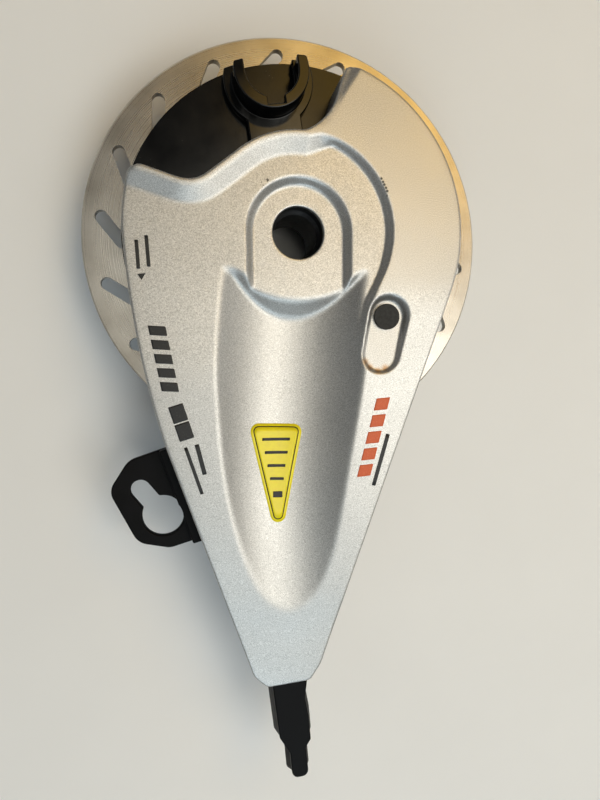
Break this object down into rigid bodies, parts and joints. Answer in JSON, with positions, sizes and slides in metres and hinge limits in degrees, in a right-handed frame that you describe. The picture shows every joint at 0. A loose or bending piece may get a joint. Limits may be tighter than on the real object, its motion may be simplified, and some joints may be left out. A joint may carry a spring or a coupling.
{
  "type": "bicycle hub roller brake",
  "caption": "Front hub roller brake with a slotted cooling disc, a cable hook link and a long reaction arm under a formed silver cover.",
  "frame": {"origin": "on the wheel axle's axis, in the plane of the drum face that sits on the hub", "axes": "+Z along the axle away from the wheel, -Y along the reaction arm to its tip, +X to the grease port's side"},
  "size_m": [0.1, 0.1866, 0.0352],
  "materials": {
    "cover_silver": "satin silver, finely grained",
    "disc_aluminium": "brushed in circles",
    "black_steel": "semi-gloss black",
    "drum_steel": "turned, satin",
    "hard_steel": "ground",
    "shoe_steel": "phosphated, dull",
    "spring_steel": "drawn wire",
    "zinc_steel": "bright zinc",
    "seal_rubber": "matt black",
    "slide_plastic": "natural"
  },
  "bodies": {
    "brake_unit": {"axle_bush": "black_steel", "retaining_ring": "spring_steel", "slide_washer": "slide_plastic", "anchor_plate": "zinc_steel", "spacer_rivets": "zinc_steel", "dust_plate": "black_steel", "dust_seal": "seal_rubber", "shoe_springs": "spring_steel", "link_spring": "spring_steel", "reaction_arm": "black_steel", "casing_holder": "black_steel", "holder_rivets": "zinc_steel", "arm_cover": "cover_silver"},
    "drum": {"brake_drum": "drum_steel", "cooling_disc": "disc_aluminium", "disc_rivets": "zinc_steel"},
    "cam_link": {"cable_link": "black_steel", "cam": "hard_steel"},
    "cage": {"roller_cage": "zinc_steel"},
    "plug": {"grease_plug": "seal_rubber"},
    "roller_1": {"roller_1": "hard_steel"},
    "roller_2": {"roller_2": "hard_steel"},
    "roller_3": {"roller_3": "hard_steel"},
    "roller_4": {"roller_4": "hard_steel"},
    "roller_5": {"roller_5": "hard_steel"},
    "roller_6": {"roller_6": "hard_steel"},
    "shoe_1": {"brake_shoe_1": "shoe_steel"},
    "shoe_2": {"brake_shoe_2": "shoe_steel"},
    "shoe_3": {"brake_shoe_3": "shoe_steel"}
  },
  "joints": [
    {"name": "drum_spin", "type": "hinge", "parent": "brake_unit", "child": "drum", "pos_m": [0, 0, 0.01], "axis": [0, 0, 1], "continuous": true},
    {"name": "link_turn", "type": "hinge", "parent": "brake_unit", "child": "cam_link", "pos_m": [0, 0, 0.0229], "axis": [0, 0, 1], "range_deg": [0, 28], "stiffness_Nm_per_rad": 0.3, "springref_deg": -17.19},
    {"name": "cage_turn", "type": "hinge", "parent": "brake_unit", "child": "cage", "pos_m": [0, 0, 0.0107], "axis": [0, 0, 1], "range_deg": [0, 14]},
    {"name": "plug_pull", "type": "slide", "parent": "brake_unit", "child": "plug", "axis": [0, 0, 1], "range_m": [0, 0.008]},
    {"name": "roller_1_out", "type": "slide", "parent": "cage", "child": "roller_1", "axis": [0.866, 0.5, 0], "range_m": [0, 0.0003]},
    {"name": "roller_2_out", "type": "slide", "parent": "cage", "child": "roller_2", "axis": [0, 1, 0], "range_m": [0, 0.0003]},
    {"name": "roller_3_out", "type": "slide", "parent": "cage", "child": "roller_3", "axis": [-0.866, 0.5, 0], "range_m": [0, 0.0003]},
    {"name": "roller_4_out", "type": "slide", "parent": "cage", "child": "roller_4", "axis": [-0.866, -0.5, 0], "range_m": [0, 0.0003]},
    {"name": "roller_5_out", "type": "slide", "parent": "cage", "child": "roller_5", "axis": [0, -1, 0], "range_m": [0, 0.0003]},
    {"name": "roller_6_out", "type": "slide", "parent": "cage", "child": "roller_6", "axis": [0.866, -0.5, 0], "range_m": [0, 0.0003]},
    {"name": "shoe_1_out", "type": "slide", "parent": "brake_unit", "child": "shoe_1", "axis": [0.5, 0.866, 0], "range_m": [0, 0.00033]},
    {"name": "shoe_2_out", "type": "slide", "parent": "brake_unit", "child": "shoe_2", "axis": [-1, 0, 0], "range_m": [0, 0.00033]},
    {"name": "shoe_3_out", "type": "slide", "parent": "brake_unit", "child": "shoe_3", "axis": [0.5, -0.866, 0], "range_m": [0, 0.00033]}
  ],
  "couplings": [
    {"joint": "cage_turn", "follows": "link_turn", "ratio": 0.5},
    {"joint": "roller_1_out", "follows": "link_turn", "m_per_rad": 0.0006133},
    {"joint": "roller_2_out", "follows": "link_turn", "m_per_rad": 0.0006133},
    {"joint": "roller_3_out", "follows": "link_turn", "m_per_rad": 0.0006133},
    {"joint": "roller_4_out", "follows": "link_turn", "m_per_rad": 0.0006133},
    {"joint": "roller_5_out", "follows": "link_turn", "m_per_rad": 0.0006133},
    {"joint": "roller_6_out", "follows": "link_turn", "m_per_rad": 0.0006133},
    {"joint": "shoe_1_out", "follows": "link_turn", "m_per_rad": 0.0006746},
    {"joint": "shoe_2_out", "follows": "link_turn", "m_per_rad": 0.0006746},
    {"joint": "shoe_3_out", "follows": "link_turn", "m_per_rad": 0.0006746}
  ]
}
